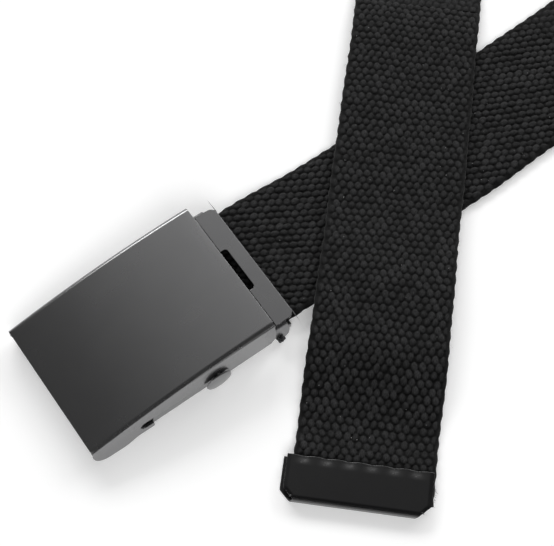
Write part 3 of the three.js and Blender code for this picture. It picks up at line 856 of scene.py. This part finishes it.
class BELT_OT_base(bpy.types.Operator):
    """Finishes the base with its side strips, and the staked rivets of the hinge"""
    bl_idname = "belt.base"
    bl_label = "Base and rivets"

    def execute(self, context):
        size = context.scene.belt_buckle
        steel = satin_metal("frame_satin", context.scene.belt_finish.inner, 0.95, 0.28, 0.3, 0.05)
        base = copy_of("base_frame", "base_sheet")
        soften(base, size.edge)
        settle(base, steel, "belt", "frame_metal", "base_frame")
        # Painted shade: the stakes get a near-black colour for the shade in the crevices between their petals.
        dark = satin_metal("stake_dark", (0.07, 0.07, 0.072), 0.8, 0.42, 0.3, 0.1)
        for side, node in ((-1, "pivot_rivet_near"), (1, "pivot_rivet_far")):
            low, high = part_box(node)
            x, z = (low.x + high.x) / 2, (low.z + high.z) / 2
            outer = low.y if side < 0 else high.y
            seat = outer - side * 0.9 * MM
            stake = staked_head("stake_near" if side < 0 else "stake_far", x, z, seat, outer, side)
            settle(stake, dark, "belt", "frame_metal", node)
        return {"FINISHED"}


def staked_head(name, x, z, seat, outer, side):
    """A rivet's end split open into five petals by a star punch."""
    petals, steps = 5, 8
    turns = [2 * math.pi * k / (petals * steps) for k in range(petals * steps)]
    rings = []
    for share, height in ((0.8, 0.0), (0.86, 0.5), (0.8, 0.9), (0.68, 1.0), (0.42, 0.86), (0.2, 0.1)):
        ring = []
        for turn in turns:
            lobe = 0.5 + 0.5 * math.cos(petals * turn)
            radius = share * (0.86 + 0.56 * lobe ** 0.8) * MM * (1 if share > 0.4 else 0.8 + 0.4 * lobe)
            ring.append((x + radius * math.cos(turn), seat + (outer - seat) * height, z + radius * math.sin(turn)))
        rings.append(ring)
    vertices = [point for ring in rings for point in ring]
    around = len(turns)
    faces = ring_faces(len(rings), around)
    faces += [tuple(range(around)), tuple(range((len(rings) - 1) * around, len(rings) * around))]
    piece = mesh_piece(name, vertices, faces)
    face_outward(piece)
    bpy.ops.object.shade_smooth_by_angle(angle=math.radians(40))
    return piece


class BELT_OT_clamp(bpy.types.Operator):
    """Finishes the hinged flap with its pry notch, cheeks and toothed lip"""
    bl_idname = "belt.clamp"
    bl_label = "Clamp"

    def execute(self, context):
        jaw = copy_of("clamp_jaw", "clamp_flap")
        soften(jaw, context.scene.belt_buckle.edge * 1.3)
        steel = satin_metal("clamp_satin", context.scene.belt_finish.inner, 0.95, 0.27, 0.25, 0.05)
        settle(jaw, steel, "clamp_jaw", "frame_metal", "clamp_jaw")
        return {"FINISHED"}


class BELT_OT_lock(bpy.types.Operator):
    """Finishes the sliding bar with its two buttons, and its knurled roller"""
    bl_idname = "belt.lock"
    bl_label = "Bar and roller"

    def execute(self, context):
        size = context.scene.belt_buckle
        steel = satin_metal("lock_satin", [c * 1.1 for c in context.scene.belt_finish.inner], 0.9, 0.28, 0.3, 0.04)
        bar = copy_of("lock_bar", "lock_bar_turned")
        soften(bar, size.edge * 0.8, corner=50)
        settle(bar, steel, "lock_bar", "frame_metal", "lock_bar")
        low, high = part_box("lock_roller")
        roller = knurled_roller("lock_roller_knurled", size.bar_rest, size.slot_height, low.y, high.y)
        settle(roller, steel, "lock_bar", "frame_metal", "lock_roller")
        return {"FINISHED"}


def knurled_roller(name, x, z, low, high):
    """A tube whose outside has straight flutes; its ends are left plain."""
    flutes, bore, outer, depth = 36, 1.5 * MM, 3.0 * MM, 0.22 * MM
    around = flutes * 4
    stops = [(bore, low), (outer - 0.3 * MM, low), (outer, low + 0.3 * MM), (outer, high - 0.3 * MM),
             (outer - 0.3 * MM, high), (bore, high)]
    vertices = []
    for radius, y in stops:
        for k in range(around):
            turn = 2 * math.pi * k / around
            dip = depth * (0, 0.5, 1, 0.5)[k % 4] if radius == outer else 0
            vertices.append((x + (radius - dip) * math.cos(turn), y, z + (radius - dip) * math.sin(turn)))
    piece = mesh_piece(name, vertices, ring_faces(len(stops), around, closed=True))
    face_outward(piece)
    bpy.ops.object.shade_smooth_by_angle(angle=math.radians(38))
    return piece


class BELT_OT_tip(bpy.types.Operator):
    """Folds the painted tip over the free end and crimps its mouth"""
    bl_idname = "belt.tip"
    bl_label = "Tip"

    def execute(self, context):
        size, web = context.scene.belt_tip, context.scene.belt_webbing
        height = web.thickness + 2 * (size.gap + size.sheet)
        fold, half = 1.25 * MM, size.width / 2
        dent_half, mouth, pull_back = 1.75 * MM, 2.6 * MM, 0.18 * MM
        side_drop, side_reach = 0.28 * MM, 1.3 * MM
        lines = [(s, height) for s in np.linspace(size.length, fold, 46)]
        turn = np.linspace(math.pi / 2, math.pi, 9)[1:]
        lines += [(fold + fold * math.cos(a), height - fold + fold * math.sin(a)) for a in turn]
        lines += [(0, z) for z in np.linspace(height - fold, fold, 4)[1:-1]]
        turn = np.linspace(math.pi, 1.5 * math.pi, 9)
        lines += [(fold + fold * math.cos(a), fold + fold * math.sin(a)) for a in turn]
        lines += [(s, 0) for s in np.linspace(fold, size.length, 20)[1:]]
        across = np.linspace(-1, 1, 157)
        vertices = []
        middle = (size.dents - 1) / 2
        for s, z in lines:
            low_leaf = 1 - ease(0, height, z)
            reach = half - max(0, size.chamfer - s)
            for t in across:
                q = t * reach + size.side_shift + size.leaf_shift * low_leaf
                level, along = z, s
                if z == height:
                    place = (q - size.side_shift) / size.dent_pitch + middle
                    off = (place - round(min(max(place, 0), size.dents - 1))) * size.dent_pitch
                    bowl = math.exp(-(off / dent_half) ** 2) * float(ease(size.length - mouth, size.length, s))
                    level -= size.dent_depth * bowl + side_drop * float(ease(half - side_reach, half, abs(t) * half))
                    along -= pull_back * bowl
                vertices.append((along, q, level))
        wide = len(across)
        faces = [(r * wide + k, r * wide + k + 1, (r + 1) * wide + k + 1, (r + 1) * wide + k)
                 for r in range(len(lines) - 1) for k in range(wide - 1)]
        piece = mesh_piece("tip_folded", vertices, faces)
        route = belt_route(web, size)
        end = route["crossing"] - web.tail_length * direction(web.tail_heading)
        piece.data.transform(Matrix.Translation((end[0], end[1], 0)) @ Matrix.Rotation(web.tail_heading, 4, "Z"))
        face_outward(piece)
        up = sum(p.normal.z for p in piece.data.polygons if p.center.z > height * 0.9)
        if up < 0:
            piece.data.flip_normals()
        finish_with(piece, "SOLIDIFY", thickness=size.sheet, offset=-1, use_even_offset=True)
        soften(piece, 0.08 * MM, corner=50)
        settle(piece, gloss_paint(context.scene.belt_finish.tip), "belt", "tip_metal", "belt_tip")
        return {"FINISHED"}


class BELT_OT_stage(bpy.types.Operator):
    """Sets the pale table, the soft lights and the camera"""
    bl_idname = "belt.stage"
    bl_label = "Stage"

    def execute(self, context):
        scene, size = context.scene, context.scene.belt_stage
        bpy.ops.object.select_all(action="DESELECT")
        bpy.ops.mesh.primitive_plane_add(size=6, location=(0, 0, -0.02 * MM))
        table = context.active_object
        table.name = "table_top"
        table.data.materials.append(floor_material(scene.belt_finish.floor, size.table_glow))

        aim = Vector((size.aim_x, size.aim_y, 0))
        back = Vector((math.sin(size.azimuth) * math.cos(size.elevation),
                       -math.cos(size.azimuth) * math.cos(size.elevation), math.sin(size.elevation)))
        lens = bpy.data.cameras.new("camera")
        lens.lens, lens.sensor_width = size.lens, 36
        lens.clip_start, lens.clip_end = 0.01, 20
        camera = bpy.data.objects.new("camera", lens)
        scene.collection.objects.link(camera)
        camera.location = aim + size.distance * back
        camera.rotation_euler = (-back).to_track_quat("-Z", "Y").to_euler()
        scene.camera = camera

        def soft_light(name, heading, rise, reach, light, width, depth, mirrored):
            """A soft box facing the belt, whose power gives this much light on the table.

            Angles are in degrees and sizes in metres. Metal shows it only where mirrored is set.
            """
            lamp = bpy.data.lights.new(name, "AREA")
            lamp.shape, lamp.size, lamp.size_y = "RECTANGLE", width, depth
            lamp.energy = light * math.pi * reach ** 2 / math.sin(math.radians(rise))
            box = bpy.data.objects.new(name, lamp)
            scene.collection.objects.link(box)
            turn, lift = math.radians(heading), math.radians(rise)
            outward = Vector((math.cos(turn) * math.cos(lift), math.sin(turn) * math.cos(lift), math.sin(lift)))
            box.location = aim + reach * outward
            box.rotation_euler = (-outward).to_track_quat("-Z", "Y").to_euler()
            box.visible_glossy = mirrored

        soft_light("key_box", 72, 38, 1.2, size.key, 0.8, 0.4, True)
        soft_light("side_box", 15, 36, 1.2, size.side, 0.8, 0.4, True)
        soft_light("low_box", 200, 24, 1.2, size.low, 1.0, 0.3, True)
        soft_light("front_box", 240, 46, 1.3, size.front, 1.0, 0.6, False)

        world = scene.world or bpy.data.worlds.new("room")
        scene.world = world
        world.use_nodes = True
        tree = world.node_tree
        tree.nodes.clear()
        place = add(tree, "ShaderNodeTexCoord")
        parts = add(tree, "ShaderNodeSeparateXYZ", {"Vector": place.outputs["Generated"]})
        across = ranged(tree, parts.outputs["X"], -0.5, 0.5, size.sky - 0.5 * size.sky_slope,
                        size.sky + 0.5 * size.sky_slope)
        dim_near_side = ranged(tree, parts.outputs["Y"], -0.1, 0.27, 0.15)
        shaded = maths(tree, "MULTIPLY", across, dim_near_side)
        level = maths(tree, "MAXIMUM", shaded, size.dimmest)
        room = add(tree, "ShaderNodeBackground", {"Color": (1, 1, 1, 1), "Strength": level})
        output = add(tree, "ShaderNodeOutputWorld")
        tree.links.new(room.outputs[0], output.inputs["Surface"])
        scene.view_settings.view_transform = "Standard"
        scene.view_settings.look = "None"
        return {"FINISHED"}


class BELT_PT_panel(bpy.types.Panel):
    """Lists the belt's sizes and the steps that build it"""
    bl_idname = "BELT_PT_panel"
    bl_label = "Canvas web belt"
    bl_space_type = "VIEW_3D"
    bl_region_type = "UI"
    bl_category = "Belt"

    def draw(self, context):
        for name, kind in PROPERTY_GROUPS.items():
            column = self.layout.box().column()
            for prop in kind.__annotations__:
                column.prop(getattr(context.scene, name), prop)
        for step in OPERATORS:
            self.layout.operator(step.bl_idname)


OPERATORS = (BELT_OT_stage, BELT_OT_webbing, BELT_OT_lint, BELT_OT_cover, BELT_OT_base, BELT_OT_clamp,
             BELT_OT_lock, BELT_OT_tip)
CLASSES = (*PROPERTY_GROUPS.values(), *OPERATORS, BELT_PT_panel)


def register():
    for kind in CLASSES:
        bpy.utils.register_class(kind)
    for name, kind in PROPERTY_GROUPS.items():
        setattr(bpy.types.Scene, name, bpy.props.PointerProperty(type=kind))


def unregister():
    for name in PROPERTY_GROUPS:
        delattr(bpy.types.Scene, name)
    for kind in reversed(CLASSES):
        bpy.utils.unregister_class(kind)


def main():
    register()
    bpy.ops.belt.stage()
    bpy.ops.belt.webbing()
    bpy.ops.belt.lint()
    bpy.ops.belt.cover()
    bpy.ops.belt.base()
    bpy.ops.belt.clamp()
    bpy.ops.belt.lock()
    bpy.ops.belt.tip()
    bpy.ops.object.select_all(action="DESELECT")


if __name__ == "__main__":
    main()
